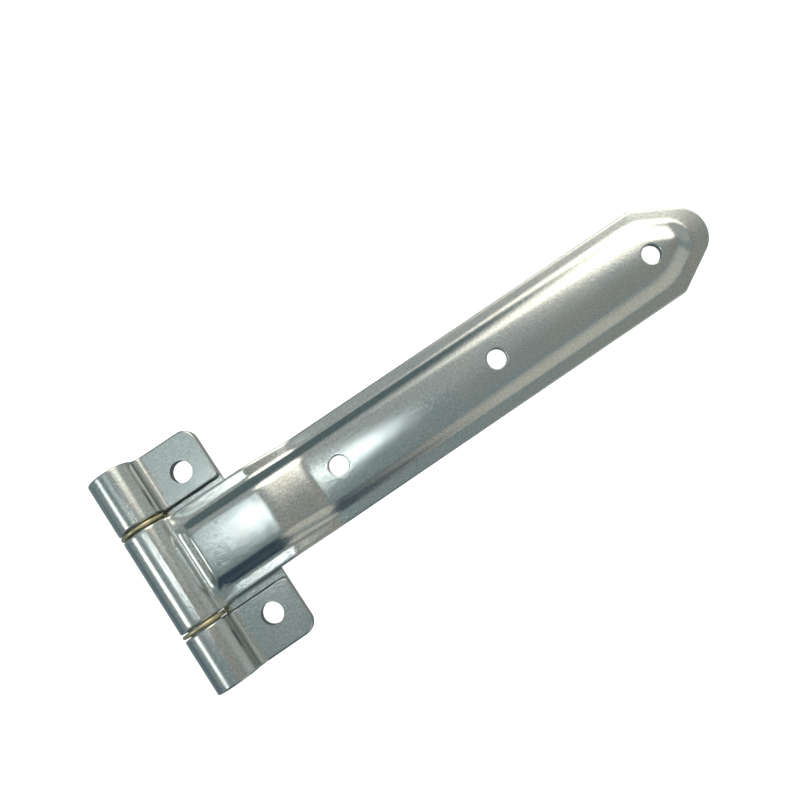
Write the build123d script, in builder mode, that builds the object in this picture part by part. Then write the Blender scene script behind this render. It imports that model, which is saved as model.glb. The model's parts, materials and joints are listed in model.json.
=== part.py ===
"""T hinge: folded bracket, pressed strap leaf, hinge pin and two spacer washers.

Origin: middle of the two bracket bolts, on the mounting face.
+X runs along the strap to its tip, +Y along the hinge pin, +Z away from the
mounting face.  All sizes in millimetres.
"""
import os
from math import acos, atan2, cos, degrees, radians, sin, sqrt, tan

from build123d import *

os.makedirs("parts", exist_ok=True)

# ------------------------------------------------------------ driving sizes
SHEET = 3.0                 # thickness of both pressed leaves
BARREL_OD = 20.0            # outside of all three rolled knuckles
BARREL_LEN = 100.0          # over the two bracket knuckles
PIN_CLEARANCE = 0.05        # radial, pin in the rolled knuckles

STRAP_REACH = 270.0         # pin axis to the tip of the strap
STRAP_WIDTH = 43.0
STRAP_KNUCKLE = 44.0        # length of the middle knuckle
STRAP_LIFT = 12.0           # top of the strap's rim beside the barrel
STRAP_HOLE = 8.5
STRAP_PITCH = 80.0          # three bolts in a line
STRAP_FIRST = 80.7          # pin axis to the first strap bolt
STEP_START = 45.7           # where the strap starts down to the mounting face
STEP_RUN = 22.9
STEP_RADIUS = 10.0          # mid-sheet radius of both step bends
TIP_ANGLE = 29.3            # side of the pointed tip from the strap's length
TIP_RADIUS = 13.0

PANEL_RISE = 4.6            # raised panel over the rim
PANEL_RISE_TIP = 4.0
PAD_START = 12.8            # foot of the pad's end wall beside the barrel
PAD_WALL_ANGLE = 51.0       # lean of that wall
PAD_EDGE_DROP = 0.3         # pad's edge below its middle
PAD_FOOT = 15.8             # half width at the foot
PAD_TOP = 11.2              # half width of the flat pad
PANEL_FOOT = 16.2           # half width of the long panel at its foot
RIM_TIP = 6.0               # rim beside the pointed tip
PANEL_TIP_RADIUS = 10.3
PANEL_DRAFT = 50.0          # lean of the panel's wall round the tip
SHOULDER_ROUND = 3.0        # outer corner between the panel's wall and its top
CROWN_INSET = 3.4           # foot of the long panel to its shoulder, across
CROWN_SHOULDER = 0.84       # shoulder height as a share of the rise: flat-topped at the step,
CROWN_SHOULDER_TIP = 0.42   # and one even crown at the tip
STEP_SECTIONS = 7           # sections that carry the panel down the step
KNUCKLE_END = 342.0         # the rolled middle knuckle stops here, degrees round the pin

BRACKET_REACH = 37.0        # pin axis to the free edge of the folded-over ears
PLATE_EXTRA = 0.2           # the back plate reaches this much further
LAYER_GAP = 0.15            # air between the folded layers of an ear
BOLT_HOLE = 9.5             # through both layers of an ear
BOLT_SPACING = 70.0
BOLT_X = 24.5               # pin axis to the bracket bolts
EAR_CORNER = 5.5
EAR_INNER_CORNER = 2.5
BEND_RADIUS = 4.0           # hollow side of the bend between knuckle and leaf

WASHER_THICK = 1.7
SIDE_GAP = 0.5              # air on each side of a washer
WASHER_CLEARANCE = 0.08     # radial, washer on the pin
PIN_INSET = 0.6             # pin end below the knuckle's end face
EDGE_ROUND = 0.9            # die-rolled edge on the outer side of the sheet
KNUCKLE_ROUND = 0.8         # rim of the middle knuckle
PLATE_ROUND = 0.5           # free edge of the back plate
WINDOW_CLEARANCE = 0.9      # back plate's upper edge to the turning knuckle
PIN_CHAMFER = 0.8
WASHER_CHAMFER = 0.3
NEAR = 0.01                 # tolerance for picking edges by place
SPARE = 5.0                 # how far a cutting shape runs past what it cuts

# ---------------------------------------------------------- derived sizes
BARREL_R = BARREL_OD / 2
BORE_R = BARREL_R - SHEET
PIN_R = BORE_R - PIN_CLEARANCE
RING_R = BARREL_R - SHEET / 2
MID_BEND_R = BEND_RADIUS + SHEET / 2
KNUCKLE_Y = STRAP_KNUCKLE / 2 + 2 * SIDE_GAP + WASHER_THICK
HALF_LEN = BARREL_LEN / 2
PIN_X = -BOLT_X             # the pin axis stands at x = -BOLT_X
AXIS_Z = BARREL_R


def bend_centre(leaf_mid_z):
    """Centre of the bend joining the ring to a leaf, from the pin axis."""
    rise = leaf_mid_z + MID_BEND_R - AXIS_Z
    reach = sqrt((RING_R + MID_BEND_R) ** 2 - rise ** 2)
    return reach, rise


def step_angle():
    """Slope of the straight between the two bends of the step."""
    drop = STRAP_LIFT - SHEET
    across = 2 * STEP_RADIUS - drop
    return atan2(STEP_RUN, across) - acos(2 * STEP_RADIUS / sqrt(STEP_RUN ** 2 + across ** 2))


STEP_SLOPE = step_angle()
STEP_STRAIGHT = (STEP_RUN - 2 * STEP_RADIUS * sin(STEP_SLOPE)) / cos(STEP_SLOPE)
STRAP_MID = STRAP_LIFT - SHEET / 2
PLATE_MID = SHEET / 2
EAR_MID = SHEET + LAYER_GAP + SHEET / 2


def step_point(share):
    """(x from the pin, mid-sheet z, downward slope) for share 0..1 of the step."""
    arc = STEP_RADIUS * STEP_SLOPE
    travel = share * (2 * arc + STEP_STRAIGHT)
    x0 = STEP_START
    z0 = STRAP_MID
    if travel <= arc:
        turn = travel / STEP_RADIUS
        return x0 + STEP_RADIUS * sin(turn), z0 - STEP_RADIUS * (1 - cos(turn)), turn
    x1 = x0 + STEP_RADIUS * sin(STEP_SLOPE)
    z1 = z0 - STEP_RADIUS * (1 - cos(STEP_SLOPE))
    if travel <= arc + STEP_STRAIGHT:
        run = travel - arc
        return x1 + run * cos(STEP_SLOPE), z1 - run * sin(STEP_SLOPE), STEP_SLOPE
    turn = (2 * arc + STEP_STRAIGHT - travel) / STEP_RADIUS
    x3 = x0 + STEP_RUN
    return x3 - STEP_RADIUS * sin(turn), PLATE_MID + STEP_RADIUS * (1 - cos(turn)), turn


def sheet_mid(x):
    """Mid-sheet height of the strap's rim at row x."""
    run = x - PIN_X - STEP_START
    left = STEP_RUN - run
    reach = STEP_RADIUS * sin(STEP_SLOPE)
    if run <= 0:
        return STRAP_MID
    if left <= 0:
        return PLATE_MID
    if run < reach:
        return STRAP_MID - STEP_RADIUS + sqrt(STEP_RADIUS ** 2 - run ** 2)
    if left < reach:
        return PLATE_MID + STEP_RADIUS - sqrt(STEP_RADIUS ** 2 - left ** 2)
    return (STRAP_MID + PLATE_MID) / 2 - (run - STEP_RUN / 2) * tan(STEP_SLOPE)


def panel_section(foot, shoulder, shoulder_rise, rise, drop):
    """Across the raised panel; drop 0 for its outside, SHEET for its hollow."""
    floor = -SHEET / 2 if drop == 0 else -drop - 1.0
    with BuildSketch() as section:
        with BuildLine():
            Polyline((-shoulder, shoulder_rise - drop), (-foot, -drop), (-foot, floor),
                     (foot, floor), (foot, -drop), (shoulder, shoulder_rise - drop))
            ThreePointArc((shoulder, shoulder_rise - drop), (0, rise - drop),
                          (-shoulder, shoulder_rise - drop))
        make_face()
        fillet(section.vertices().filter_by(lambda v: abs(abs(v.X) - shoulder) < 0.01), SHOULDER_ROUND)
    return section.sketch_local


def station(x, z, slope):
    """Plane across the strap; its y points off the sheet's outer side."""
    return Plane(origin=(PIN_X + x + sin(slope) * SHEET / 2, 0, z + cos(slope) * SHEET / 2),
                 x_dir=(0, 1, 0), z_dir=(cos(slope), 0, -sin(slope)))


def tip_apex():
    """Where the two tip sides would meet; the rounded tip ends at STRAP_REACH."""
    return STRAP_REACH - TIP_RADIUS + TIP_RADIUS / sin(radians(TIP_ANGLE))


def panel_piece(drop):
    """The pressed panel as a solid: pad, step and long crowned part."""
    shoulder = PANEL_FOOT - CROWN_INSET
    pad = (PAD_FOOT, PAD_TOP, PANEL_RISE - PAD_EDGE_DROP, PANEL_RISE)
    crown = (PANEL_FOOT, shoulder, PANEL_RISE * CROWN_SHOULDER, PANEL_RISE)
    crown_tip = (PANEL_FOOT, shoulder, PANEL_RISE_TIP * CROWN_SHOULDER_TIP, PANEL_RISE_TIP)
    # pad beside the barrel, its end wall sloping up away from the pin
    with BuildPart() as pad_part:
        with BuildSketch(station(PAD_START - SPARE, STRAP_MID, 0)):
            add(panel_section(*pad, drop))
        extrude(amount=STEP_START - PAD_START + SPARE)
        base = STRAP_LIFT - drop
        low = base - SPARE
        high = base + PANEL_RISE + SPARE
        lean = tan(radians(PAD_WALL_ANGLE))
        pad_end = PIN_X + STEP_START
        with BuildSketch(Plane.XZ):
            with BuildLine():
                Polyline((PIN_X + PAD_START - SPARE / lean, low),
                         (PIN_X + PAD_START + (PANEL_RISE + SPARE) / lean, high),
                         (pad_end, high), (pad_end, low), close=True)
            make_face()
        extrude(amount=STRAP_WIDTH, both=True, mode=Mode.INTERSECT)
    # long crowned part, ended by the pointed tip with drafted walls
    half = STRAP_WIDTH
    apex = tip_apex() - RIM_TIP / sin(radians(TIP_ANGLE))
    flare = half / tan(radians(TIP_ANGLE))
    back = PIN_X + STEP_START - 4 * SPARE
    with BuildPart() as tip_block:
        with BuildSketch(Plane.XY.offset(SHEET - drop)) as tip_plan:
            with BuildLine():
                Polyline((back, -half), (PIN_X + apex - flare, -half), (PIN_X + apex, 0),
                         (PIN_X + apex - flare, half), (back, half), close=True)
            make_face()
            fillet(tip_plan.vertices().sort_by(Axis.X)[-1], PANEL_TIP_RADIUS)
        extrude(amount=PANEL_RISE + 1, taper=PANEL_DRAFT)
        extrude(tip_plan.sketch, amount=-SHEET)
    with BuildPart() as long_part:
        with BuildSketch(station(STEP_START + STEP_RUN, PLATE_MID, 0)):
            add(panel_section(*crown, drop))
        with BuildSketch(station(STRAP_REACH + SPARE, PLATE_MID, 0)):
            add(panel_section(*crown_tip, drop))
        loft()
        add(tip_block.part, mode=Mode.INTERSECT)
    with BuildPart() as piece:
        add(pad_part.part)
        for k in range(STEP_SECTIONS):
            share = k / (STEP_SECTIONS - 1)
            ease = share * share * (3 - 2 * share)
            mix = [a + (b - a) * ease for a, b in zip(pad, crown)]
            with BuildSketch(station(*step_point(share))):
                add(panel_section(*mix, drop))
        loft()
        add(long_part.part)
    return piece.part


# ------------------------------------------------------------ the bracket
bend_x, bend_z = bend_centre(EAR_MID)
turn = degrees(atan2(bend_z, bend_x))
plate_end = PIN_X + BRACKET_REACH + PLATE_EXTRA
ear_end = PIN_X + BRACKET_REACH
with BuildPart() as bracket:
    with BuildSketch(Plane.XZ):
        with BuildLine() as fold:
            Line((plate_end, PLATE_MID), (PIN_X, PLATE_MID))
            CenterArc((PIN_X, AXIS_Z), RING_R, turn, 270 - turn)
            CenterArc((PIN_X + bend_x, AXIS_Z + bend_z), MID_BEND_R, 180 + turn, 90 - turn)
            Line((PIN_X + bend_x, EAR_MID), (ear_end, EAR_MID))
        trace(fold.edges(), line_width=SHEET)
    extrude(amount=HALF_LEN, both=True)
    # window for the strap's knuckle, and the space between the two ears
    window_end = PIN_X + sqrt((BARREL_R + WINDOW_CLEARANCE) ** 2 - (AXIS_Z - SHEET) ** 2)
    window_start = PIN_X - BARREL_R - SPARE
    with BuildSketch(Plane.XY.offset(-SPARE)):
        with BuildLine():
            Polyline((window_start, -KNUCKLE_Y), (window_end, -KNUCKLE_Y),
                     (window_end, KNUCKLE_Y), (window_start, KNUCKLE_Y), close=True)
        make_face()
    extrude(amount=BARREL_OD + 2 * SPARE, mode=Mode.SUBTRACT)
    with BuildSketch(Plane.XY.offset(SHEET + LAYER_GAP / 2)):
        with BuildLine():
            Polyline((PIN_X, -KNUCKLE_Y), (plate_end + SPARE, -KNUCKLE_Y),
                     (plate_end + SPARE, KNUCKLE_Y), (PIN_X, KNUCKLE_Y), close=True)
        make_face()
    extrude(amount=BARREL_OD, mode=Mode.SUBTRACT)
    uprights = bracket.edges().filter_by(Axis.Z)
    plate_corner = EAR_CORNER + PLATE_EXTRA / 2
    fillet(uprights.filter_by_position(Axis.X, plate_end - NEAR, plate_end + NEAR), plate_corner)
    uprights = bracket.edges().filter_by(Axis.Z).filter_by_position(Axis.X, ear_end - NEAR, ear_end + NEAR)
    fillet(uprights.filter_by(lambda e: abs(e.center().Y) > HALF_LEN - 1), EAR_CORNER)
    fillet(uprights.filter_by(lambda e: abs(e.center().Y) < HALF_LEN - 1), EAR_INNER_CORNER)
    with Locations(*[(PIN_X + BOLT_X, y, BARREL_OD) for y in (-BOLT_SPACING / 2, BOLT_SPACING / 2)]):
        Hole(radius=BOLT_HOLE / 2)
    # die-rolled edges: round each ear's outer skin, and the back plate's free edge
    ear_top = 2 * SHEET + LAYER_GAP
    bend_line = PIN_X + bend_x
    flats = bracket.edges().filter_by_position(Axis.Z, ear_top - NEAR, ear_top + NEAR)
    rim = flats.filter_by(lambda e: e.bounding_box().size.Z < NEAR and e.center().X > bend_line + NEAR
                          and not (e.geom_type == GeomType.CIRCLE and abs(e.radius - BOLT_HOLE / 2) < NEAR))
    rolled = bracket.edges().filter_by(GeomType.CIRCLE).filter_by(
        lambda e: e.bounding_box().size.Y < NEAR
        and min(abs(e.radius - BARREL_R), abs(e.radius - BEND_RADIUS)) < NEAR)
    fillet(rim + rolled, EDGE_ROUND)
    free = bracket.edges().filter_by_position(Axis.Z, SHEET - NEAR, SHEET + NEAR)
    fillet(free.filter_by(lambda e: e.bounding_box().max.X > plate_end - NEAR), PLATE_ROUND)
bracket.part.label = "bracket"
export_step(bracket.part, "parts/bracket.step")

# -------------------------------------------------------------- the strap
skin = panel_piece(0)
hollow = panel_piece(SHEET)
lift_x, lift_z = bend_centre(STRAP_MID)
lift_turn = degrees(atan2(lift_z, lift_x))
slope = degrees(STEP_SLOPE)
flank = PIN_X + STEP_START
foot = flank + STEP_RUN
with BuildPart() as strap:
    with BuildSketch(Plane.XZ):
        with BuildLine() as leaf:
            Line((PIN_X + lift_x, STRAP_MID), (flank, STRAP_MID))
            CenterArc((flank, STRAP_MID - STEP_RADIUS), STEP_RADIUS, 90 - slope, slope)
            CenterArc((foot, PLATE_MID + STEP_RADIUS), STEP_RADIUS, 270 - slope, slope)
            Line((flank + STEP_RADIUS * sin(STEP_SLOPE), STRAP_MID - STEP_RADIUS * (1 - cos(STEP_SLOPE))),
                 (foot - STEP_RADIUS * sin(STEP_SLOPE), PLATE_MID + STEP_RADIUS * (1 - cos(STEP_SLOPE))))
            Line((foot, PLATE_MID), (PIN_X + STRAP_REACH + SPARE, PLATE_MID))
        trace(leaf.edges(), line_width=SHEET)
    extrude(amount=STRAP_WIDTH / 2, both=True)
    # pointed, rounded outline
    side = STRAP_WIDTH / 2
    sweep_back = side / tan(radians(TIP_ANGLE))
    with BuildSketch(Plane.XY.offset(-SPARE)) as outline:
        with BuildLine():
            Polyline((PIN_X, -side), (PIN_X + tip_apex() - sweep_back, -side), (PIN_X + tip_apex(), 0),
                     (PIN_X + tip_apex() - sweep_back, side), (PIN_X, side), close=True)
        make_face()
        fillet(outline.vertices().sort_by(Axis.X)[-1], TIP_RADIUS)
    extrude(amount=BARREL_OD + SPARE, mode=Mode.INTERSECT)
    tip_from = PIN_X + tip_apex() - sweep_back
    rim = strap.edges().filter_by(
        lambda e: (abs(e.center().Y) > side - NEAR or e.center().X > tip_from + NEAR)
        and e.center().Z > sheet_mid(e.center().X) + SHEET / 3)
    fillet(rim, EDGE_ROUND)
    # rolled knuckle and the bend that joins it to the leaf
    with BuildSketch(Plane.XZ):
        with BuildLine() as roll:
            CenterArc((PIN_X, AXIS_Z), RING_R, lift_turn, KNUCKLE_END - lift_turn)
            CenterArc((PIN_X + lift_x, AXIS_Z + lift_z), MID_BEND_R, 180 + lift_turn, 90 - lift_turn)
        trace(roll.edges(), line_width=SHEET)
    extrude(amount=STRAP_KNUCKLE / 2, both=True)
    rolled = strap.edges().filter_by(GeomType.CIRCLE).filter_by(
        lambda e: abs(abs(e.center().Y) - STRAP_KNUCKLE / 2) < NEAR
        and min(abs(e.radius - BARREL_R), abs(e.radius - BEND_RADIUS)) < NEAR)
    fillet(rolled, KNUCKLE_ROUND)
    add(skin)
    add(hollow, mode=Mode.SUBTRACT)
    with Locations(*[(PIN_X + STRAP_FIRST + k * STRAP_PITCH, 0, BARREL_OD) for k in range(3)]):
        Hole(radius=STRAP_HOLE / 2)
strap.part.label = "strap"
export_step(strap.part, "parts/strap.step")

# ---------------------------------------------------------- the hinge pin
with BuildPart() as hinge_pin:
    with BuildSketch(Plane.XZ):
        with Locations((PIN_X, AXIS_Z)):
            Circle(PIN_R)
    extrude(amount=HALF_LEN - PIN_INSET, both=True)
    chamfer(hinge_pin.faces().filter_by(Axis.Y).edges(), PIN_CHAMFER)
hinge_pin.part.label = "hinge_pin"
export_step(hinge_pin.part, "parts/hinge_pin.step")


# ----------------------------------------------------------- the washers
def washer(side):
    """Spacer washer on the pin; side 1 towards +Y, -1 towards -Y."""
    start = STRAP_KNUCKLE / 2 + SIDE_GAP
    with BuildPart() as piece:
        with BuildSketch(Plane.XZ.offset(-side * start)):
            with Locations((PIN_X, AXIS_Z)):
                Circle(BARREL_R)
                Circle(PIN_R + WASHER_CLEARANCE, mode=Mode.SUBTRACT)
        extrude(amount=-side * WASHER_THICK)
        chamfer(piece.edges().filter_by(GeomType.CIRCLE).group_by(SortBy.RADIUS)[-1], WASHER_CHAMFER)
    return piece.part


washer_upper = washer(1)
washer_upper.label = "washer_upper"
export_step(washer_upper, "parts/washer_upper.step")
washer_lower = washer(-1)
washer_lower.label = "washer_lower"
export_step(washer_lower, "parts/washer_lower.step")
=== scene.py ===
"""T hinge: pressed strap, folded bracket, pin and spacer washers, zinc plated, on a pale bench top.

Lengths are in metres in the frame of the CAD model: +X along the strap to its tip, +Y along the hinge pin
and +Z away from the mounting face.
"""
import json
import math

import bmesh
import bpy
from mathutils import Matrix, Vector


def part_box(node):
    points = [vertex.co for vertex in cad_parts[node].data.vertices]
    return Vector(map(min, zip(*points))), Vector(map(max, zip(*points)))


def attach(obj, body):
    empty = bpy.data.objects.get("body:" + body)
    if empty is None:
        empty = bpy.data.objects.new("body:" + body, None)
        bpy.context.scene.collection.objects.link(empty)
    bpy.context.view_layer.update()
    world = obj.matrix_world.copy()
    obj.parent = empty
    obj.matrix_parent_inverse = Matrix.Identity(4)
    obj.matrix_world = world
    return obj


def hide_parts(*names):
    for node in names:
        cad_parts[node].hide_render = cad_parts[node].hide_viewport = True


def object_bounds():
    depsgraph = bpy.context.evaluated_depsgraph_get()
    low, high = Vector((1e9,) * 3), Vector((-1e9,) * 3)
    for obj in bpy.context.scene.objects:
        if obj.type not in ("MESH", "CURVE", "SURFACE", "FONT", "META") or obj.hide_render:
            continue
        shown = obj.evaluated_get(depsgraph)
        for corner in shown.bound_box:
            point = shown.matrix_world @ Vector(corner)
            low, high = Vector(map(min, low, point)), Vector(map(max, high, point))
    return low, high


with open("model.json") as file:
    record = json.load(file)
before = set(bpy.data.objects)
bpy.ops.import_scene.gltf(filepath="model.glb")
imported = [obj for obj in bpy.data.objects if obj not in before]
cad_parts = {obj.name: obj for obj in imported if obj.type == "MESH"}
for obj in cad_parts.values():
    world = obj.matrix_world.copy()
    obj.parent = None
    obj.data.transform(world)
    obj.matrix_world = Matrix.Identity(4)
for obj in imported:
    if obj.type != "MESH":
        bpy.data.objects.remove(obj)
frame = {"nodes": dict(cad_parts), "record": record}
CAD_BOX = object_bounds()

bl_info = {
    "name": "T hinge",
    "version": (1, 0, 0),
    "blender": (4, 5, 0),
    "location": "View3D > Sidebar > T hinge",
    "description": "Builds the visual model of a pressed steel T hinge around its CAD frame",
    "category": "Object",
}

MM = 0.001

# ------------------------------------------------------------------ places taken from the frame
BRACKET_BODY = "bracket_side"
STRAP_BODY = "strap_side"
STRAP_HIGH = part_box("strap")[1]
PIN_LOW, PIN_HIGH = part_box("hinge_pin")
PIN_AXIS = (PIN_LOW + PIN_HIGH) / 2
BARREL_R = STRAP_HIGH.z - PIN_AXIS.z
MOUNTS = {mount["name"]: mount for mount in frame["record"]["mounts"]}
HOLE_R = MOUNTS["strap_middle_bolt"]["dims"]["r_mm"] * MM
HOLE_SPACING = MOUNTS["strap_end_bolts"]["dims"]["spacing_x_mm"] * MM / 2
HOLE_MIDDLE = MOUNTS["strap_middle_bolt"]["pos_m"][0]
HOLES_X = [HOLE_MIDDLE - HOLE_SPACING, HOLE_MIDDLE, HOLE_MIDDLE + HOLE_SPACING]


# ------------------------------------------------------------------ settings a user would change
def linear(hex_colour):
    """sRGB hex to the linear RGBA that shaders take."""
    digits = hex_colour.lstrip("#")
    channels = [int(digits[i:i + 2], 16) / 255 for i in (0, 2, 4)]
    return tuple(c / 12.92 if c <= 0.04045 else ((c + 0.055) / 1.055) ** 2.4 for c in channels) + (1.0,)


def length(name, mm, description):
    """A length setting: its default is given in millimetres and held in metres."""
    return bpy.props.FloatProperty(name=name, description=description, default=mm * MM, unit="LENGTH")


def angle(name, degrees, description):
    """An angle setting: its default is given in degrees and held in radians."""
    return bpy.props.FloatProperty(name=name, description=description, default=math.radians(degrees),
                                   subtype="ANGLE")


def colour(name, hex_colour, description):
    """A colour setting: its default is given as sRGB hex."""
    return bpy.props.FloatVectorProperty(name=name, description=description, default=linear(hex_colour),
                                         size=4, min=0, max=1, subtype="COLOR")


class THINGE_PG_strap(bpy.types.PropertyGroup):
    """Sizes of the pressed strap"""
    sheet: length("Sheet", 3.0, "Sheet thickness")
    width: length("Width", 43.0, "Width of the strap")
    lift: length("Lift", 12.0, "Top of the rim beside the barrel, over the mounting face")
    bend_radius: length("Bend", 5.5, "Mid-sheet radius of the bend between knuckle and leaf")
    knuckle_end: angle("Knuckle end", 18.0, "Where the rolled knuckle stops, below the level of the pin")
    step_start: length("Step start", 45.7, "From the pin to the step down")
    step_run: length("Step run", 22.9, "Length of the step")
    step_radius: length("Step radius", 10.0, "Mid-sheet radius of the step's bends")
    tip_angle: angle("Tip angle", 29.3, "Sides of the pointed tip, from the strap's length")
    tip_radius: length("Tip radius", 13.0, "Round end of the tip")
    rise: length("Panel rise", 4.6, "Raised panel over the rim")
    rise_tip: length("Rise at the tip", 4.0, "Raised panel over the rim at the tip")
    pad_start: length("Pad start", 12.8, "From the pin to the foot of the pad's end wall")
    pad_foot: length("Pad foot", 15.8, "Half width of the pad at its foot")
    pad_wall: angle("Pad wall", 44.0, "Lean of the pad's long walls")
    pad_end_wall: angle("Pad end wall", 50.0, "Lean of the pad's end wall")
    panel_foot: length("Panel foot", 16.2, "Half width of the long panel at its foot")
    panel_wall: angle("Panel wall", 47.0, "Lean of the long panel's flanks at the step")
    panel_wall_tip: angle("Panel wall at the tip", 31.0, "Lean of the long panel's flanks at the tip")
    panel_crown: length("Panel crown", 0.7, "Middle of the long panel over its shoulders at the step")
    panel_crown_tip: length("Panel crown at the tip", 2.2, "The same at the tip")
    tip_rim: length("Tip rim", 6.0, "Flat rim beside the pointed tip")
    panel_tip_radius: length("Panel tip radius", 10.3, "Round end of the long panel")
    rim_lift: angle("Rim lift", 2.7, "Lean of the rim's upper skin away from its edge, beside the pad")
    rim_droop: angle("Rim droop", 5.0, "Lean of the rim's upper skin towards its edge, beside the panel")
    edge_roll: length("Edge roll", 0.8, "Die-rolled upper edge of the outline")
    edge_burr: length("Edge burr", 0.25, "Broken lower edge of the outline")
    hole_roll: length("Hole roll", 0.45, "Punched edge of the bolt holes")


class THINGE_PG_finish(bpy.types.PropertyGroup):
    """Colours of the plating and the metals"""
    zinc: colour("Zinc", "#C3CDCE", "Blue-white passivated zinc")
    zinc_warm: colour("Zinc, warm", "#CDCBC6", "Warmer clouds in the plating")
    brass: colour("Brass", "#DDD2A8", "Spacer washers")
    steel: colour("Steel", "#B4B6B7", "Drawn steel pin")
    bench: colour("Bench", "#F4F4F4", "Pale bench top")


# ------------------------------------------------------------------ materials
def add_node(tree, kind, settings=(), links=(), values=()):
    """Adds a node, sets its properties and input values, and links sockets into its inputs."""
    node = tree.nodes.new(kind)
    for name, value in dict(settings).items():
        setattr(node, name, value)
    for name, value in dict(values).items():
        node.inputs[name].default_value = value
    for name, socket in dict(links).items():
        tree.links.new(socket, node.inputs[name])
    return node


def new_material(name):
    """A material, its node tree and its Principled shader."""
    material = bpy.data.materials.new(name)
    material.use_nodes = True
    return material, material.node_tree, material.node_tree.nodes["Principled BSDF"]


# grey of torn steel on the sheet's edges and hole walls, darker than the plating; on the hole walls it is
# also painted shade, standing in for the shadowed bench they reflect
SHEARED_AND_SHADED_TINT = linear("#868986")
SHEARED_ROUGHNESS = 0.55
PLATED_ROUGHNESS = (0.11, 0.20)   # least and most, from cloud to cloud
TARNISH_SHADE = 0.72              # dulled brass, as a share of the clean colour
BOARD_GLOW = 0.7                  # light that comes through the opal board


def sheared_and_shaded_share(tree):
    """1 on the sheet's sheared edges and hole walls, where plating lies thin on torn steel and where the
    darker grey also paints shade into the hole walls, and 0 elsewhere.
    """
    at = add_node(tree, "ShaderNodeTexCoord").outputs
    up = add_node(tree, "ShaderNodeSeparateXYZ", links={"Vector": at["Normal"]})
    tilt = add_node(tree, "ShaderNodeMath", {"operation": "ABSOLUTE"}, {0: up.outputs["Z"]})
    upright = add_node(tree, "ShaderNodeMapRange", links={"Value": tilt.outputs["Value"]},
                       values={"From Min": 0.12, "From Max": 0.35, "To Min": 1.0, "To Max": 0.0})
    along = add_node(tree, "ShaderNodeSeparateXYZ", links={"Vector": at["Object"]})
    flat = add_node(tree, "ShaderNodeMath", {"operation": "GREATER_THAN"}, {0: along.outputs["X"]},
                    {1: PIN_AXIS.x + BARREL_R})
    both = add_node(tree, "ShaderNodeMath", {"operation": "MULTIPLY"},
                    {0: upright.outputs["Result"], 1: flat.outputs["Value"]})
    return both.outputs["Value"]


def zinc_plated_steel(name, finish):
    """Pressed steel, bright zinc plated and blue-white passivated.

    The eye sees a soft metallic sheen between silver and pale teal, faintly mottled by the crystals of the
    plating, so that the edge of every highlight looks grainy, with hair scratches along the strap.
    """
    material, tree, shader = new_material(name)
    shader.inputs["Metallic"].default_value = 1.0
    place = add_node(tree, "ShaderNodeTexCoord").outputs["Object"]
    # clouds of the passivation film, about 14 mm across
    clouds = add_node(tree, "ShaderNodeTexNoise", links={"Vector": place},
                      values={"Scale": 1 / (14 * MM), "Detail": 5, "Roughness": 0.6})
    tint = add_node(tree, "ShaderNodeMix", {"data_type": "RGBA"}, {"Factor": clouds.outputs["Fac"]},
                    {"A": finish.zinc, "B": finish.zinc_warm})
    # crystals of the plating: finer than 0.1 mm in truth, drawn 0.9 mm across so that they show
    grain = add_node(tree, "ShaderNodeTexNoise", links={"Vector": place},
                     values={"Scale": 1 / (0.9 * MM), "Detail": 4, "Roughness": 0.75})
    spread = add_node(tree, "ShaderNodeMapRange", links={"Value": grain.outputs["Fac"]},
                      values={"From Min": 0.3, "From Max": 0.7, "To Min": 0.8, "To Max": 1.12})
    shade = add_node(tree, "ShaderNodeVectorMath", {"operation": "SCALE"},
                     {"Vector": tint.outputs["Result"], "Scale": spread.outputs["Result"]})
    # upright edges and hole walls: darker grey for the torn steel, which on the hole walls is also painted
    # shade, and a rougher finish
    cut_and_shade = sheared_and_shaded_share(tree)
    edged = add_node(tree, "ShaderNodeMix", {"data_type": "RGBA"},
                     {"Factor": cut_and_shade, "A": shade.outputs["Vector"]}, {"B": SHEARED_AND_SHADED_TINT})
    tree.links.new(edged.outputs["Result"], shader.inputs["Base Color"])
    rough = add_node(tree, "ShaderNodeMapRange", links={"Value": clouds.outputs["Fac"]},
                     values={"From Min": 0.3, "From Max": 0.7,
                             "To Min": PLATED_ROUGHNESS[0], "To Max": PLATED_ROUGHNESS[1]})
    duller = add_node(tree, "ShaderNodeMix", {"data_type": "FLOAT"},
                      {"Factor": cut_and_shade, "A": rough.outputs["Result"]}, {"B": SHEARED_ROUGHNESS})
    tree.links.new(duller.outputs["Result"], shader.inputs["Roughness"])
    # hair scratches of handling: 0.15 mm across, 20 mm along the strap
    along = add_node(tree, "ShaderNodeMapping", links={"Vector": place},
                     values={"Scale": (1 / (20 * MM), 1 / (0.15 * MM), 1 / (0.15 * MM))})
    hairs = add_node(tree, "ShaderNodeTexNoise", links={"Vector": along.outputs["Vector"]},
                     values={"Scale": 1.0, "Detail": 2})
    relief = add_node(tree, "ShaderNodeMath", {"operation": "MULTIPLY_ADD"},
                      {0: hairs.outputs["Fac"], 2: grain.outputs["Fac"]}, {1: 0.25})
    bump = add_node(tree, "ShaderNodeBump", links={"Height": relief.outputs["Value"]},
                    values={"Strength": 0.75, "Distance": 0.05 * MM})
    tree.links.new(bump.outputs["Normal"], shader.inputs["Normal"])
    return material


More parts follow.
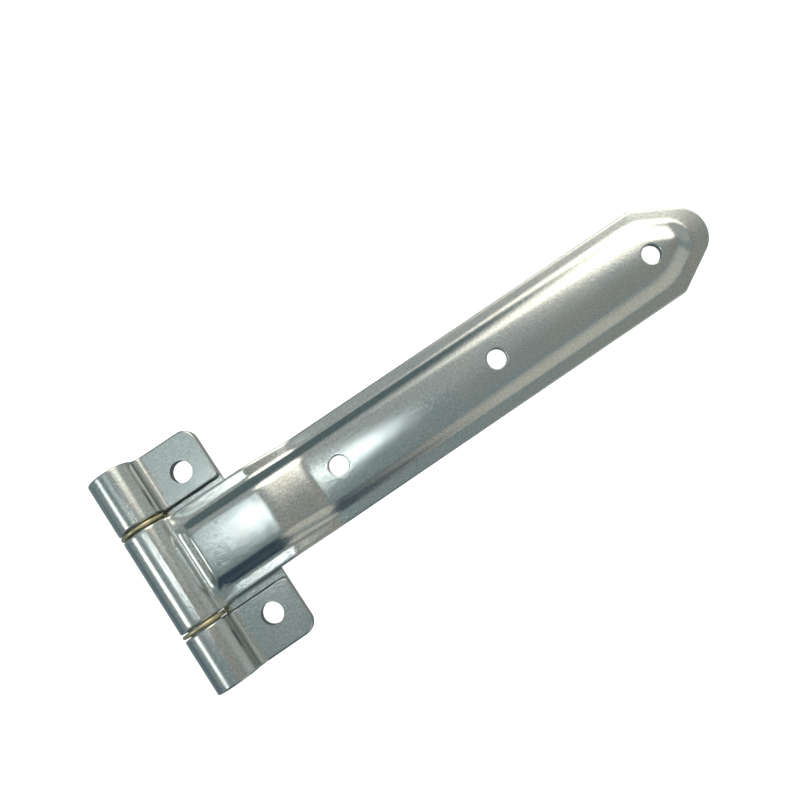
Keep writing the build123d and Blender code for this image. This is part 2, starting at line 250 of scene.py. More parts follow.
def turned_brass(name, tint):
    """Brass turned on a lathe: satin yellow, dulled unevenly by handling."""
    material, tree, shader = new_material(name)
    shader.inputs["Metallic"].default_value = 1.0
    shader.inputs["Roughness"].default_value = 0.3
    place = add_node(tree, "ShaderNodeTexCoord").outputs["Object"]
    # tarnish in patches of about 2.5 mm
    tarnish = add_node(tree, "ShaderNodeTexNoise", links={"Vector": place},
                       values={"Scale": 1 / (2.5 * MM), "Detail": 4})
    dull = [channel * TARNISH_SHADE for channel in tint[:3]] + [1.0]
    mixed = add_node(tree, "ShaderNodeMix", {"data_type": "RGBA"}, {"Factor": tarnish.outputs["Fac"]},
                     {"A": tint, "B": dull})
    tree.links.new(mixed.outputs["Result"], shader.inputs["Base Color"])
    return material


def drawn_steel(name, tint):
    """Cold-drawn bar: plain grey steel, with streaks along the draw that break up its sheen."""
    material, tree, shader = new_material(name)
    shader.inputs["Metallic"].default_value = 1.0
    shader.inputs["Base Color"].default_value = tint
    place = add_node(tree, "ShaderNodeTexCoord").outputs["Object"]
    # draw streaks: 0.2 mm across, 15 mm along the bar
    lines = add_node(tree, "ShaderNodeMapping", links={"Vector": place},
                     values={"Scale": (1 / (0.2 * MM), 1 / (15 * MM), 1 / (0.2 * MM))})
    streaks = add_node(tree, "ShaderNodeTexNoise", links={"Vector": lines.outputs["Vector"]},
                       values={"Scale": 1.0, "Detail": 3})
    rough = add_node(tree, "ShaderNodeMapRange", links={"Value": streaks.outputs["Fac"]},
                     values={"To Min": 0.3, "To Max": 0.5})
    tree.links.new(rough.outputs["Result"], shader.inputs["Roughness"])
    return material


def opal_board(name, tint):
    """Opal acrylic board, lit faintly through: matt and near white, so that holes show white, not grey."""
    material, tree, shader = new_material(name)
    shader.inputs["Base Color"].default_value = tint
    shader.inputs["Emission Color"].default_value = tint
    shader.inputs["Emission Strength"].default_value = BOARD_GLOW
    place = add_node(tree, "ShaderNodeTexCoord").outputs["Object"]
    cloud = add_node(tree, "ShaderNodeTexNoise", links={"Vector": place}, values={"Scale": 1 / (30 * MM)})
    rough = add_node(tree, "ShaderNodeMapRange", links={"Value": cloud.outputs["Fac"]},
                     values={"To Min": 0.7, "To Max": 0.9})
    tree.links.new(rough.outputs["Result"], shader.inputs["Roughness"])
    return material


# ------------------------------------------------------------------ the strap's shape
def spaced(a, b, step):
    """Values from a up to but not including b, about step apart."""
    count = max(1, round(abs(b - a) / step))
    return [a + (b - a) * k / count for k in range(count)]


def clamp(value):
    """The value, kept from 0 to 1."""
    return min(max(value, 0.0), 1.0)


def eased(share):
    """0 to 1 with a flat start and end."""
    share = clamp(share)
    return share * share * (3 - 2 * share)


def soft_min(a, b, blend):
    """The smaller of two heights, rounded over where they meet."""
    gap = max(blend - abs(a - b), 0.0) / blend
    return min(a, b) - gap * gap * blend / 4


def soft_max(a, b, blend):
    """The larger of two heights, rounded over where they meet."""
    return -soft_min(-a, -b, blend)


class StrapForm:
    """The pressed strap as one sheet swept along its side profile.

    A place on it is s, the distance along the sheet from the end of the bend beside the barrel, and y, the
    distance across.  The rolled knuckle has negative s.
    """
    PAD_SHOULDER = 11.0 * MM        # half width at which the pad's crown is measured
    PAD_CROWN = 0.3 * MM
    PANEL_SHOULDER = 13.0 * MM      # the same for the long panel
    CORNER_BLEND = 3.0 * MM         # where the flanks turn into the tip's walls
    PAD_REACH = 2.2 * MM            # the pad's rounded end wall starts this much nearer the barrel
    PAD_CORNER_BLEND = 4.5 * MM     # where the pad's long walls turn into its end wall
    PAD_FOOT_BLEND = 3.0 * MM       # more blend at the foot of the pad's end wall
    PAD_FOOT_RUN = 8.0 * MM         # and how far along it dies out
    DROOP_EASE = 1.5 * MM           # over which the rim's lean sets in, across
    DROOP_RUN = 45.0 * MM           # and turns from a lift to a droop, along
    PAD_BLEND = 1.6 * MM            # the pad's shoulder
    PANEL_BLEND = 2.2 * MM          # the long panel's shoulder
    FOOT_BLEND = 0.9 * MM           # the foot of every wall
    BEND_EASE = 3.6 * MM            # half the length over which a bend in the sheet sets in

    def __init__(self, sizes):
        self.sizes = sizes
        self.half = sizes.sheet / 2
        self.ring_r = BARREL_R - self.half
        self.mid = sizes.lift - self.half
        rise = self.mid + sizes.bend_radius - PIN_AXIS.z
        reach = math.sqrt((self.ring_r + sizes.bend_radius) ** 2 - rise ** 2)
        self.bend = (PIN_AXIS.x + reach, PIN_AXIS.z + rise)
        self.turn = math.atan2(rise, reach)
        across = 2 * sizes.step_radius - (self.mid - self.half)
        span = math.hypot(sizes.step_run, across)
        self.slope = math.atan2(sizes.step_run, across) - math.acos(2 * sizes.step_radius / span)
        self.step_x = PIN_AXIS.x + sizes.step_start
        self.foot_x = self.step_x + sizes.step_run
        self.arc = sizes.step_radius * self.slope
        straight = (sizes.step_run - 2 * sizes.step_radius * math.sin(self.slope)) / math.cos(self.slope)
        self.s_step = self.step_x - self.bend[0]
        self.s_foot = self.s_step + 2 * self.arc + straight
        self.s_bend = -sizes.bend_radius * (math.pi / 2 - self.turn)
        self.s_start = self.s_bend - self.ring_r * (2 * math.pi - sizes.knuckle_end - self.turn)
        self.apex = STRAP_HIGH.x + sizes.tip_radius * (1 / math.sin(sizes.tip_angle) - 1)
        self.shoulder_x = self.apex - sizes.width / 2 / math.tan(sizes.tip_angle)
        self.rim_apex = self.apex - sizes.tip_rim / math.sin(sizes.tip_angle)
        self.panel_nose = self.rim_apex - sizes.panel_tip_radius / math.sin(sizes.tip_angle)

    def s_at(self, x):
        """Distance along the sheet at place x on the long straight part."""
        return self.s_foot + x - self.foot_x

    def middle(self, s):
        """Mid-sheet point (x, z) and the unit normal (nx, nz) of the outer side."""
        sizes = self.sizes
        if s < self.s_bend:
            turn = self.turn + (self.s_bend - s) / self.ring_r
            nx, nz = math.cos(turn), math.sin(turn)
            return PIN_AXIS.x + self.ring_r * nx, PIN_AXIS.z + self.ring_r * nz, nx, nz
        if s < 0:
            turn = -s / sizes.bend_radius
            nx, nz = math.sin(turn), math.cos(turn)
            return self.bend[0] - sizes.bend_radius * nx, self.bend[1] - sizes.bend_radius * nz, nx, nz
        if s < self.s_step:
            return self.bend[0] + s, self.mid, 0.0, 1.0
        if s > self.s_foot:
            return self.foot_x + s - self.s_foot, self.half, 0.0, 1.0
        run = s - self.s_step
        left = self.s_foot - s
        if left < self.arc:
            turn = left / sizes.step_radius
            x = self.foot_x - sizes.step_radius * math.sin(turn)
            return x, self.half + sizes.step_radius * (1 - math.cos(turn)), math.sin(turn), math.cos(turn)
        turn = min(run / sizes.step_radius, self.slope)
        beyond = max(run - self.arc, 0.0)
        x = self.step_x + sizes.step_radius * math.sin(turn) + beyond * math.cos(turn)
        z = self.mid - sizes.step_radius * (1 - math.cos(turn)) - beyond * math.sin(turn)
        return x, z, math.sin(turn), math.cos(turn)

    def eased_middle(self, s):
        """The same, with the bends setting in gradually, as they do in pressed sheet."""
        # nothing is averaged along the knuckle, which stays truly round
        away = clamp((s - self.s_bend) / self.BEND_EASE) * self.BEND_EASE
        places = [self.middle(s + away * share) for share in (-1.0, -0.5, 0.0, 0.5, 1.0)]
        x, z, nx, nz = (sum(column) / len(places) for column in zip(*places))
        size = math.hypot(nx, nz)
        return x, z, nx / size, nz / size

    def to_tip(self, x, y):
        """Distance in from the foot of the long panel's pointed and rounded end."""
        y = abs(y)
        tilt = self.sizes.tip_angle
        away = x - self.panel_nose
        if away * math.cos(tilt) > y * math.sin(tilt):
            return self.sizes.panel_tip_radius - math.hypot(away, y)
        return (self.rim_apex - x) * math.sin(tilt) - y * math.cos(tilt)

    def rise(self, s, y):
        """Height of the pressed panel over the rim."""
        sizes = self.sizes
        if s < self.s_bend:
            return 0.0
        down = eased((s - self.s_step) / (self.s_foot - self.s_step))
        along = clamp((s - self.s_foot) / (self.s_at(STRAP_HIGH.x) - self.s_foot))
        foot = sizes.pad_foot + (sizes.panel_foot - sizes.pad_foot) * down
        panel_wall = sizes.panel_wall + (sizes.panel_wall_tip - sizes.panel_wall) * along
        lean = math.tan(sizes.pad_wall + (panel_wall - sizes.pad_wall) * down)
        top = sizes.rise + (sizes.rise_tip - sizes.rise) * along
        pad_dip = self.PAD_CROWN / self.PAD_SHOULDER ** 2
        panel_crown = sizes.panel_crown + (sizes.panel_crown_tip - sizes.panel_crown) * along
        panel_dip = panel_crown / self.PANEL_SHOULDER ** 2
        crown = top - (pad_dip + (panel_dip - pad_dip) * down) * y * y
        inward = soft_min(foot - abs(y), self.to_tip(self.foot_x + s - self.s_foot, y), self.CORNER_BLEND)
        past_start = s - sizes.pad_start + self.PAD_REACH + self.bend[0] - PIN_AXIS.x
        pad_end = past_start * math.tan(sizes.pad_end_wall) / lean
        inward = soft_min(inward, pad_end, self.PAD_CORNER_BLEND)
        blend = self.PAD_BLEND + (self.PANEL_BLEND - self.PAD_BLEND) * down
        foot_blend = self.FOOT_BLEND + self.PAD_FOOT_BLEND * eased(1 - s / self.PAD_FOOT_RUN)
        return soft_max(soft_min(inward * lean, crown, blend), 0.0, foot_blend)

    def droop(self, s, y):
        """How far the rim's upper skin has fallen, beyond the panel's foot."""
        inward = min(self.sizes.panel_foot - abs(y), self.to_tip(self.foot_x + s - self.s_foot, y))
        beyond = soft_max(-inward, 0.0, self.DROOP_EASE)
        falling = eased((s - self.s_step) / self.DROOP_RUN)
        lean = self.sizes.rim_droop * falling - self.sizes.rim_lift * (1 - falling)
        return beyond * math.tan(lean) * eased(s / self.PAD_FOOT_RUN)

    def point(self, s, y, depth):
        """A place in the sheet, depth below its outer skin."""
        x, z, nx, nz = self.eased_middle(s)
        away = self.half + self.rise(s, y) - depth - self.droop(s, y) * (1 - depth / self.sizes.sheet)
        return Vector((x + nx * away, y, z + nz * away))

    def half_width(self, s):
        """Half width of the knuckle and, past the bend, of the slightly narrower leaf."""
        side = self.sizes.width / 2
        return STRAP_HIGH.y + (side - STRAP_HIGH.y) * eased(1 - s / self.s_bend)


# ------------------------------------------------------------------ the strap's mesh
FINE = 0.8 * MM              # spacing of the cross-sections where the sheet bends
COARSE = 1.4 * MM            # and where it is straight
PATCH = 6.4 * MM             # half side of the square patch round a bolt hole
PATCH_CELLS = 8              # cells from the middle of the patch to its side
SIDE_CELLS = 20              # cells from the patch to the outline
SHOULDER_EASE = 2.5 * MM     # rounding where the sides turn into the tip
NOSE_TURN = math.radians(15)  # the last cross-section, from the strap's middle line
QUARTER = math.pi / 2
MERGE = MM / 500             # vertices closer than this are one
SLIVER = MM / 1000           # edges shorter than this are dissolved
SHARP = math.radians(40)     # corners sharper than this are not shaded smooth


def outline_rows(form):
    """Cross-sections from the knuckle's end to the nose: s, half width, outline normal (along, across), bow.

    The bow grows from 0 to 1 over the nose: 0 is a straight section, 1 follows the nose's round end.
    """
    sizes = form.sizes
    side = sizes.width / 2
    rows = []
    for s in spaced(form.s_start, form.s_bend, FINE) + spaced(form.s_bend, 0.0, FINE / 2):
        rows.append((s, form.half_width(s), 0.0, 1.0, 0.0))
    shoulder = form.s_at(form.shoulder_x)
    tangent = SHOULDER_EASE * math.tan(sizes.tip_angle / 2)
    stops = [0.0, form.s_step, form.s_foot + COARSE]
    for x in HOLES_X:
        stops += [form.s_at(x) - PATCH, form.s_at(x) + PATCH]
    stops = [s for s in stops if s < shoulder - tangent] + [shoulder - tangent]
    for a, b in zip(stops, stops[1:]):
        step = FINE if b < form.s_foot + PATCH or b - a < 2.5 * PATCH else COARSE
        for s in spaced(a, b, step):
            rows.append((s, side, 0.0, 1.0, 0.0))
    for turn in spaced(0.0, sizes.tip_angle, sizes.tip_angle / 4):
        s = shoulder - tangent + SHOULDER_EASE * math.sin(turn)
        rows.append((s, side - SHOULDER_EASE * (1 - math.cos(turn)), math.sin(turn), math.cos(turn), 0.0))
    nose = form.s_at(STRAP_HIGH.x) - sizes.tip_radius
    lean = (math.sin(sizes.tip_angle), math.cos(sizes.tip_angle))
    first = Vector((shoulder + tangent * lean[1], side - tangent * lean[0]))
    last = Vector((nose + sizes.tip_radius * lean[0], sizes.tip_radius * lean[1]))
    for share in spaced(0.0, 1.0, FINE / (last - first).length):
        s, width = first.lerp(last, share)
        rows.append((s, width, *lean, 0.0))
    start = QUARTER - sizes.tip_angle
    for turn in spaced(start, NOSE_TURN, FINE / sizes.tip_radius) + [NOSE_TURN]:
        normal = (math.cos(turn), math.sin(turn))
        bow = eased((start - turn) / (start - NOSE_TURN))
        rows.append((nose + sizes.tip_radius * normal[0], sizes.tip_radius * normal[1], *normal, bow))
    return rows


def edge_points(form, s, y, along, across):
    """Down over the rolled edge at one place of the outline, from the outer skin to the inner one."""
    roll = form.sizes.edge_roll
    burr = form.sizes.edge_burr
    sheet = form.sizes.sheet
    steps = []
    for turn in (22.5, 45.0, 67.5, 90.0):
        turn = math.radians(turn)
        steps.append((roll * (1 - math.sin(turn)), roll * (1 - math.cos(turn))))
    steps += [(0.0, sheet - burr), (burr, sheet)]
    return [form.point(s - along * back, y - across * back, depth) for back, depth in steps]


def strap_mesh(form):
    """The closed skin of the strap: outer and inner face, rolled edges, and a patch round each bolt hole."""
    sizes = form.sizes
    roll = sizes.edge_roll
    inner = sizes.width / 2 - roll
    across = spaced(0.0, PATCH, PATCH / PATCH_CELLS)
    across += spaced(PATCH, inner, (inner - PATCH) / SIDE_CELLS) + [inner]
    shares = [-y / inner for y in reversed(across[1:])] + [y / inner for y in across]
    last = len(shares) - 1
    middle = last // 2
    nose_r = sizes.tip_radius - roll
    grid = bmesh.new()
    places = []
    tops = []
    bottoms = []
    edges = []
    for s, width, along, over, bow in outline_rows(form):
        s_in = s - along * roll
        w_in = width - over * roll
        row = []
        for share in shares:
            y = share * w_in
            bulge = 0.0
            if bow:
                bulge = bow * (math.sqrt(nose_r ** 2 - y ** 2) - math.sqrt(nose_r ** 2 - w_in ** 2))
            row.append((s_in + bulge, y))
        places.append(row)
        tops.append([grid.verts.new(form.point(*place, 0.0)) for place in row])
        bottoms.append([grid.verts.new(form.point(*place, sizes.sheet)) for place in row])
        edges.append([[grid.verts.new(p) for p in edge_points(form, s, side * width, along, side * over)]
                      for side in (-1, 1)])
    # round the nose the rolled edge runs from one side to the other
    nose = []
    centre = form.s_at(STRAP_HIGH.x) - sizes.tip_radius
    for s, y in places[-1]:
        turn = math.asin(y / nose_r)
        along, over = math.cos(turn), math.sin(turn)
        rim = edge_points(form, centre + sizes.tip_radius * along, sizes.tip_radius * over, along, over)
        nose.append([grid.verts.new(p) for p in rim])
    patches = [hole_patch_rows(places, form.s_at(x)) for x in HOLES_X]
    for i in range(len(tops) - 1):
        holed = any(low <= i < high for low, high in patches)
        for j in range(last):
            if holed and middle - PATCH_CELLS <= j < middle + PATCH_CELLS:
                continue
            add_quad(grid, tops[i][j], tops[i][j + 1], tops[i + 1][j + 1], tops[i + 1][j])
            add_quad(grid, bottoms[i][j], bottoms[i][j + 1], bottoms[i + 1][j + 1], bottoms[i + 1][j])
        for side, j in ((0, 0), (1, last)):
            strip_a = [tops[i][j], *edges[i][side], bottoms[i][j]]
            strip_b = [tops[i + 1][j], *edges[i + 1][side], bottoms[i + 1][j]]
            add_strip(grid, strip_a, strip_b)
    for j in range(last):
        strip_a = [tops[-1][j], *nose[j], bottoms[-1][j]]
        strip_b = [tops[-1][j + 1], *nose[j + 1], bottoms[-1][j + 1]]
        add_strip(grid, strip_a, strip_b)
        add_quad(grid, tops[0][j], tops[0][j + 1], bottoms[0][j + 1], bottoms[0][j])
    for side, j in ((0, 0), (1, last)):
        grid.faces.new([tops[0][j], *edges[0][side], bottoms[0][j]])
    for x, (low, high) in zip(HOLES_X, patches):
        border = [(i, middle - PATCH_CELLS) for i in range(low, high)]
        border += [(high, j) for j in range(middle - PATCH_CELLS, middle + PATCH_CELLS)]
        border += [(i, middle + PATCH_CELLS) for i in range(high, low, -1)]
        border += [(low, j) for j in range(middle + PATCH_CELLS, middle - PATCH_CELLS, -1)]
        around = [places[i][j] for i, j in border]
        top = punch(grid, form, form.s_at(x), around, [tops[i][j] for i, j in border], 0.0)
        bottom = punch(grid, form, form.s_at(x), around, [bottoms[i][j] for i, j in border], sizes.sheet)
        add_strip(grid, [*top, top[0]], [*bottom, bottom[0]])
    return finished_mesh(grid, "strap_skin")


def hole_patch_rows(places, s_hole):
    """First and last cross-section of the square patch round a bolt hole."""
    middle = len(places[0]) // 2
    inside = [i for i, row in enumerate(places) if abs(row[middle][0] - s_hole) < PATCH + FINE / 10]
    return inside[0], inside[-1]


def punch(grid, form, s_hole, around, border, depth):
    """Rings of faces from the patch's border in to a hole and over its edge; returns the last ring."""
    roll = form.sizes.hole_roll
    inward = 1 if depth == 0.0 else -1
    turns = [math.atan2(y, s - s_hole) for s, y in around]
    starts = [math.hypot(y, s - s_hole) for s, y in around]
    rings = []
    for share in (0.2, 0.4, 0.6, 0.8, 1.0):
        rings.append(([start + (HOLE_R + roll - start) * share for start in starts], depth))
    for turn in (30.0, 60.0, 90.0):
        turn = math.radians(turn)
        radius = HOLE_R + roll * (1 - math.sin(turn))
        rings.append(([radius] * len(starts), depth + inward * roll * (1 - math.cos(turn))))
    previous = border
    for radii, below in rings:
        ring = [grid.verts.new(form.point(s_hole + r * math.cos(turn), r * math.sin(turn), below))
                for r, turn in zip(radii, turns)]
        add_strip(grid, [*previous, previous[0]], [*ring, ring[0]])
        previous = ring
    return previous


def add_quad(grid, *corners):
    """One face between existing vertices."""
    grid.faces.new(corners)


def add_strip(grid, first, second):
    """Quads between two rows of as many vertices."""
    for k in range(len(first) - 1):
        add_quad(grid, first[k], first[k + 1], second[k + 1], second[k])


def finished_mesh(grid, name):
    """Merges doubled vertices, turns the faces outwards and shades smooth but for true corners."""
    bmesh.ops.remove_doubles(grid, verts=grid.verts, dist=MERGE)
    bmesh.ops.dissolve_degenerate(grid, edges=grid.edges, dist=SLIVER)
    bmesh.ops.recalc_face_normals(grid, faces=grid.faces)
    mesh = bpy.data.meshes.new(name)
    grid.to_mesh(mesh)
    grid.free()
    mesh.shade_smooth()
    mesh.set_sharp_from_angle(angle=SHARP)
    return mesh


def new_piece(name, mesh, material, body, slot, *nodes):
    """Links a finished mesh as a piece that rides on a body in place of CAD nodes."""
    piece = bpy.data.objects.new(name, mesh)
    bpy.context.scene.collection.objects.link(piece)
    mesh.materials.clear()
    mesh.materials.append(material)
    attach(piece, body)
    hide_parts(*nodes)


def coat(node, material):
    """Puts a material on a CAD node's slots."""
    for slot in frame["nodes"][node].material_slots:
        slot.material = material


# ------------------------------------------------------------------ the washers
WASHER_PLAY = 0.08 * MM
WASHER_EDGE = 0.7 * MM
WASHER_COUNT = 2
RING_STEPS = 128             # straight pieces round a washer
EDGE_STEPS = 6               # and round each corner of its section


def washer_tree(material):
    """Geometry Nodes: a ring of round-edged rectangular section, placed in a row along the pin."""
    tree = bpy.data.node_groups.new("washers_on_pin", "GeometryNodeTree")
    for name, kind in (("Outer Radius", "Float"), ("Bore Radius", "Float"), ("Thickness", "Float"),
                       ("Edge", "Float"), ("First", "Vector"), ("Step", "Vector")):
        tree.interface.new_socket(name, in_out="INPUT", socket_type="NodeSocket" + kind)
    tree.interface.new_socket("Geometry", in_out="OUTPUT", socket_type="NodeSocketGeometry")
    given = add_node(tree, "NodeGroupInput").outputs
    total = add_node(tree, "ShaderNodeMath", {"operation": "ADD"},
                     {0: given["Outer Radius"], 1: given["Bore Radius"]})
    mean = add_node(tree, "ShaderNodeMath", {"operation": "MULTIPLY"}, {0: total.outputs[0]}, {1: 0.5})
    wide = add_node(tree, "ShaderNodeMath", {"operation": "SUBTRACT"},
                    {0: given["Outer Radius"], 1: given["Bore Radius"]})
    path = add_node(tree, "GeometryNodeCurvePrimitiveCircle", {"mode": "RADIUS"}, {"Radius": mean.outputs[0]},
                    {"Resolution": RING_STEPS})
    section = add_node(tree, "GeometryNodeCurvePrimitiveQuadrilateral", {"mode": "RECTANGLE"},
                       {"Width": wide.outputs[0], "Height": given["Thickness"]})
    rounded = add_node(tree, "GeometryNodeFilletCurve", {"mode": "POLY"},
                       {"Curve": section.outputs["Curve"], "Radius": given["Edge"]}, {"Count": EDGE_STEPS})
    ring = add_node(tree, "GeometryNodeCurveToMesh",
                    links={"Curve": path.outputs["Curve"], "Profile Curve": rounded.outputs["Curve"]})
    upright = add_node(tree, "GeometryNodeTransform", links={"Geometry": ring.outputs["Mesh"]},
                       values={"Rotation": (math.radians(90), 0.0, 0.0)})
    row = add_node(tree, "GeometryNodeMeshLine", {"mode": "OFFSET"},
                   {"Start Location": given["First"], "Offset": given["Step"]}, {"Count": WASHER_COUNT})
    placed = add_node(tree, "GeometryNodeInstanceOnPoints",
                      links={"Points": row.outputs["Mesh"], "Instance": upright.outputs["Geometry"]})
    real = add_node(tree, "GeometryNodeRealizeInstances", links={"Geometry": placed.outputs["Instances"]})
    coated = add_node(tree, "GeometryNodeSetMaterial", links={"Geometry": real.outputs["Geometry"]},
                      values={"Material": material})
    add_node(tree, "NodeGroupOutput", links={"Geometry": coated.outputs["Geometry"]})
    return tree


def evaluated_mesh(name, tree, sizes):
    """Runs a Geometry Nodes tree with the given sizes on an empty mesh and returns the plain result."""
    carrier = bpy.data.objects.new(name, bpy.data.meshes.new(name))
    bpy.context.scene.collection.objects.link(carrier)
    modifier = carrier.modifiers.new(name, "NODES")
    modifier.node_group = tree
    for item in tree.interface.items_tree:
        if item.in_out == "INPUT":
            modifier[item.identifier] = sizes[item.name]
    graph = bpy.context.evaluated_depsgraph_get()
    mesh = bpy.data.meshes.new_from_object(carrier.evaluated_get(graph))
    bpy.data.objects.remove(carrier)
    grid = bmesh.new()
    grid.from_mesh(mesh)
    bpy.data.meshes.remove(mesh)
    return finished_mesh(grid, name)


# ------------------------------------------------------------------ the stage
BENCH_GAP = 0.3 * MM          # air under the hinge, so that no faces coincide
BENCH_HALF = 3.0              # metres from the hinge to the edges of the bench
CAMERA_LENS = 39.77
CAMERA_PLACE = (73.42 * MM, -29.53 * MM, 375.01 * MM)
CAMERA_TURN = (6.532, 0.842, -34.110)
# name, place, what it is aimed at, sides, radiance, colour, whether the metal reflects it
LAMPS = (
    ("pad_lamp", (-0.042, 0.044, 0.45), (-0.042, 0.044, 0.0), (0.018, 0.032), 20.0, (0.96, 1.0, 1.0), True),
    ("panel_lamp", (0.056, 0.040, 0.45), (0.056, 0.040, 0.0), (0.030, 0.030), 14.0, (0.93, 1.0, 1.0), True),
    ("bench_wash", (0.1, 0.0, 1.5), (0.1, 0.0, 0.0), (2.0, 2.0), 3.2, (1.0, 1.0, 1.0), False),
)
DOME_BASE = (0.30, 0.36, 0.365)
BACKDROP = (0.93, 0.93, 0.93)
# cards and cloths hung round the bench: angle from straight up, bearing from the strap's tip towards +Y,
# radius of the full patch and of its faded edge, all in degrees, then the colour
DOME_PATCHES = (
    ("dark_cloth", 72, 247, 1, 45, (0.04, 0.07, 0.10)),
    ("grey_card", 68, 300, 17, 32, (0.68, 0.66, 0.58)),
    ("warm_ceiling", 32, 350, 8, 28, (0.37, 0.37, 0.335)),
    ("pale_wall", 48, 75, 34, 48, (0.47, 0.50, 0.49)),
    ("far_wall", 96, 92, 18, 36, (0.14, 0.19, 0.20)),
    ("window", 54, 46, 18, 30, (2.6, 2.45, 2.15)),
    ("left_card", 50, 174, 4, 11, (3.3, 3.4, 3.35)),
    ("left_wall", 104, 185, 10, 24, (0.16, 0.21, 0.25)),
    ("right_wall", 84, 12, 20, 32, (0.50, 0.53, 0.50)),
    ("ceiling_card", 15, 136, 2, 10, (0.74, 0.86, 0.85)),
)


def studio_world():
    """The dome round the bench: plain to the eye, with soft cards and cloths for the metal to reflect."""
    world = bpy.data.worlds.new("studio")
    world.use_nodes = True
    tree = world.node_tree
    direction = add_node(tree, "ShaderNodeTexCoord").outputs["Generated"]
    seen = add_node(tree, "ShaderNodeRGB")
    seen.outputs[0].default_value = (*DOME_BASE, 1.0)
    tint = seen.outputs[0]
    for name, tilt, bearing, inner, outer, patch in DOME_PATCHES:
        tilt, bearing = math.radians(tilt), math.radians(bearing)
        aim = (math.sin(tilt) * math.cos(bearing), math.sin(tilt) * math.sin(bearing), math.cos(tilt))
        near = add_node(tree, "ShaderNodeVectorMath", {"operation": "DOT_PRODUCT"}, {0: direction}, {1: aim})
        share = add_node(tree, "ShaderNodeMapRange", {"interpolation_type": "SMOOTHSTEP"},
                         {"Value": near.outputs["Value"]},
                         {"From Min": math.cos(math.radians(outer)),
                          "From Max": math.cos(math.radians(inner))})
        mixed = add_node(tree, "ShaderNodeMix", {"data_type": "RGBA", "label": name},
                         {"Factor": share.outputs["Result"]})
        tree.links.new(tint, mixed.inputs["A"])
        mixed.inputs["B"].default_value = (*patch, 1.0)
        tint = mixed.outputs["Result"]
    looked_at = add_node(tree, "ShaderNodeLightPath").outputs["Is Camera Ray"]
    backdrop = add_node(tree, "ShaderNodeMix", {"data_type": "RGBA"}, {"Factor": looked_at})
    tree.links.new(tint, backdrop.inputs["A"])
    backdrop.inputs["B"].default_value = (*BACKDROP, 1.0)
    tree.links.new(backdrop.outputs["Result"], tree.nodes["Background"].inputs["Color"])
    return world


def lamp(name, place, target, sides, radiance, tint, reflected):
    """A soft rectangular light aimed at a point."""
    light = bpy.data.lights.new(name, "AREA")
    light.shape = "RECTANGLE"
    light.size, light.size_y = sides
    light.energy = radiance * math.pi * sides[0] * sides[1]
    light.color = tint
    holder = bpy.data.objects.new(name, light)
    holder.visible_glossy = reflected
    holder.location = place
    holder.rotation_euler = (Vector(target) - Vector(place)).to_track_quat("-Z", "Y").to_euler()
    bpy.context.scene.collection.objects.link(holder)


# ------------------------------------------------------------------ operators
class THINGE_OT_strap(bpy.types.Operator):
    """Builds the pressed strap with its knuckle, pad, step, panel and tip"""
    bl_idname = "thinge.strap"
    bl_label = "Strap"

    def execute(self, context):
        finish = context.scene.thinge_finish
        plating = zinc_plated_steel("zinc_plated_steel_strap", finish)
        mesh = strap_mesh(StrapForm(context.scene.thinge_strap))
        new_piece("pressed_strap", mesh, plating, STRAP_BODY, "zinc_plated_steel_strap", "strap")
        return {"FINISHED"}


class THINGE_OT_bracket(bpy.types.Operator):
    """Plates the folded bracket and finishes the pin"""
    bl_idname = "thinge.bracket"
    bl_label = "Bracket and pin"

    def execute(self, context):
        finish = context.scene.thinge_finish
        coat("bracket", zinc_plated_steel("zinc_plated_steel", finish))
        coat("hinge_pin", drawn_steel("drawn_steel_bar", finish.steel))
        return {"FINISHED"}


class THINGE_OT_washers(bpy.types.Operator):
    """Makes the spacer washers beside the strap's knuckle"""
    bl_idname = "thinge.washers"
    bl_label = "Spacer washers"

    def execute(self, context):
        brass = turned_brass("turned_brass", context.scene.thinge_finish.brass)
        low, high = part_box("washer_upper")
        middle = (low.y + high.y) / 2
        sizes = {"Outer Radius": BARREL_R, "Bore Radius": (PIN_HIGH.z - PIN_LOW.z) / 2 + WASHER_PLAY,
                 "Thickness": high.y - low.y, "Edge": WASHER_EDGE,
                 "First": Vector((PIN_AXIS.x, -middle, PIN_AXIS.z)), "Step": Vector((0.0, 2 * middle, 0.0))}
        mesh = evaluated_mesh("washers", washer_tree(brass), sizes)
        new_piece("spacer_washers", mesh, brass, BRACKET_BODY, "brass", "washer_upper", "washer_lower")
        return {"FINISHED"}


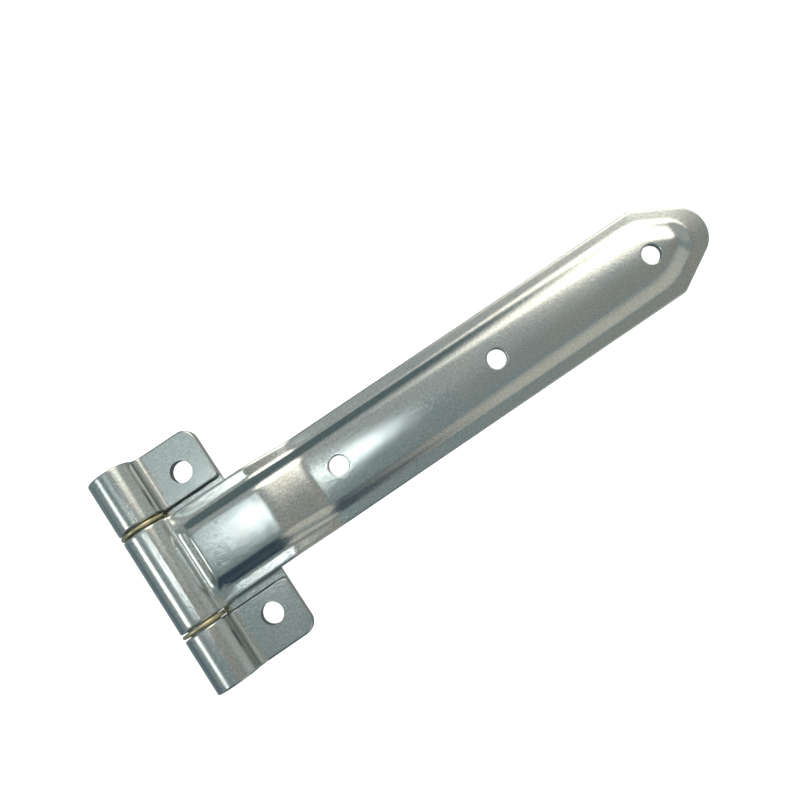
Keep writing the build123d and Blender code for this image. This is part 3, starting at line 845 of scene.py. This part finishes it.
class THINGE_OT_stage(bpy.types.Operator):
    """Lays the pale bench top, hangs the soft lights and sets the camera"""
    bl_idname = "thinge.stage"
    bl_label = "Stage"

    def execute(self, context):
        scene = context.scene
        scene.view_settings.view_transform = "Standard"
        level = CAD_BOX[0][2] - BENCH_GAP
        corners = [(-BENCH_HALF, -BENCH_HALF, level), (BENCH_HALF, -BENCH_HALF, level),
                   (BENCH_HALF, BENCH_HALF, level), (-BENCH_HALF, BENCH_HALF, level)]
        mesh = bpy.data.meshes.new("bench_top")
        mesh.from_pydata(corners, [], [(0, 1, 2, 3)])
        mesh.materials.append(opal_board("opal_board", scene.thinge_finish.bench))
        bench = bpy.data.objects.new("bench_top", mesh)
        bench.visible_glossy = False
        scene.collection.objects.link(bench)
        for settings in LAMPS:
            lamp(*settings)
        scene.world = studio_world()
        camera = bpy.data.objects.new("camera", bpy.data.cameras.new("camera"))
        camera.data.lens = CAMERA_LENS
        camera.data.clip_start = 10 * MM
        camera.location = CAMERA_PLACE
        camera.rotation_euler = [math.radians(turn) for turn in CAMERA_TURN]
        scene.collection.objects.link(camera)
        scene.camera = camera
        return {"FINISHED"}


class THINGE_PT_panel(bpy.types.Panel):
    """Lists the hinge's operators and settings in the sidebar"""
    bl_idname = "THINGE_PT_panel"
    bl_label = "T hinge"
    bl_space_type = "VIEW_3D"
    bl_region_type = "UI"
    bl_category = "T hinge"

    def draw(self, context):
        for operator in OPERATORS:
            self.layout.operator(operator.bl_idname)
        for group in (context.scene.thinge_strap, context.scene.thinge_finish):
            for name in type(group).__annotations__:
                self.layout.prop(group, name)


GROUPS = (THINGE_PG_strap, THINGE_PG_finish)
OPERATORS = (THINGE_OT_strap, THINGE_OT_bracket, THINGE_OT_washers, THINGE_OT_stage)


def register():
    """Registers the classes and hangs the settings on the scene."""
    for cls in (*GROUPS, *OPERATORS, THINGE_PT_panel):
        bpy.utils.register_class(cls)
    bpy.types.Scene.thinge_strap = bpy.props.PointerProperty(type=THINGE_PG_strap)
    bpy.types.Scene.thinge_finish = bpy.props.PointerProperty(type=THINGE_PG_finish)


def unregister():
    """Takes back what register did."""
    del bpy.types.Scene.thinge_finish
    del bpy.types.Scene.thinge_strap
    for cls in reversed((*GROUPS, *OPERATORS, THINGE_PT_panel)):
        bpy.utils.unregister_class(cls)


def main():
    """Builds the hinge and its stage."""
    register()
    bpy.ops.thinge.strap()
    bpy.ops.thinge.bracket()
    bpy.ops.thinge.washers()
    bpy.ops.thinge.stage()


if __name__ == "__main__":
    main()
